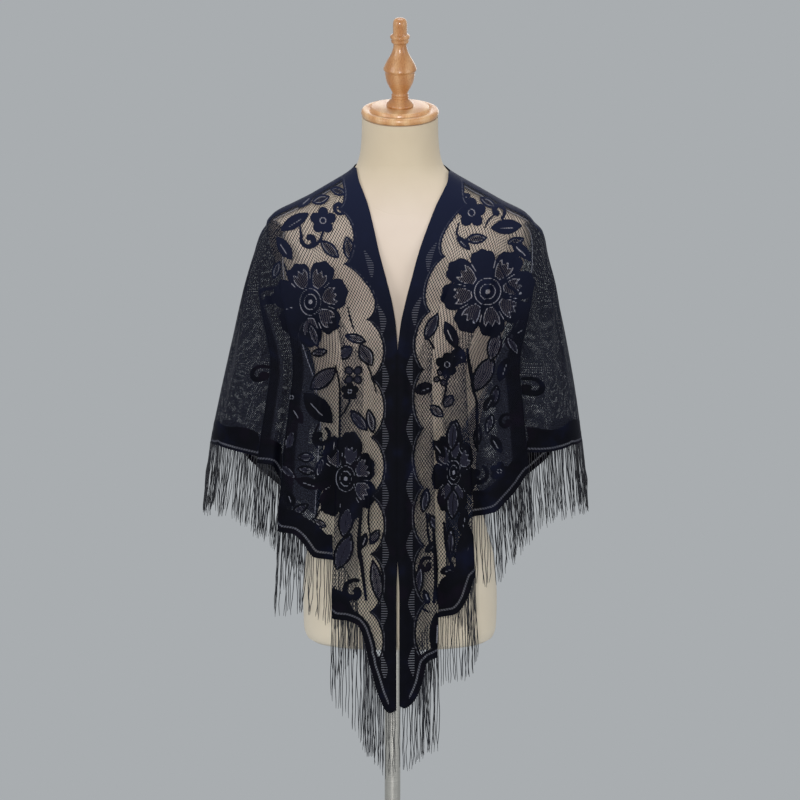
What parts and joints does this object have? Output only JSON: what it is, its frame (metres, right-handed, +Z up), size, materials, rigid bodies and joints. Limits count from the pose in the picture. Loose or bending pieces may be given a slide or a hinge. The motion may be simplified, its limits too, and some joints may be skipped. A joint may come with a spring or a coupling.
{
  "type": "lace shawl on a dress form",
  "caption": "Triangular navy lace shawl with a scalloped edge and long fringe, worn open over a limbless ivory dress form on a round stand.",
  "frame": {"origin": "centre of the base plate's underside, on the axis of the stand's pole", "axes": "+Z up along the pole, -Y the way the front of the shawl faces, +X to the viewer's right when looking at the front"},
  "size_m": [0.5615, 0.32, 1.6474],
  "materials": {
    "lace": "navy warp-knitted lace, matte with a slight sheen on the solid parts",
    "fringe": "navy polyester yarn, matte",
    "jersey": "ivory cotton jersey, matte",
    "wood": "turned beech under clear lacquer",
    "pole": "brushed tube",
    "base": "satin grey paint"
  },
  "bodies": {
    "root": {"shawl_front_left": "lace", "shawl_front_right": "lace", "shawl_back": "lace", "fringe_front_left": "fringe", "fringe_front_right": "fringe", "fringe_back": "fringe", "form_torso": "jersey", "neck_cap": "wood", "neck_finial": "wood", "stand_pole": "pole", "stand_base": "base"}
  },
  "joints": []
}
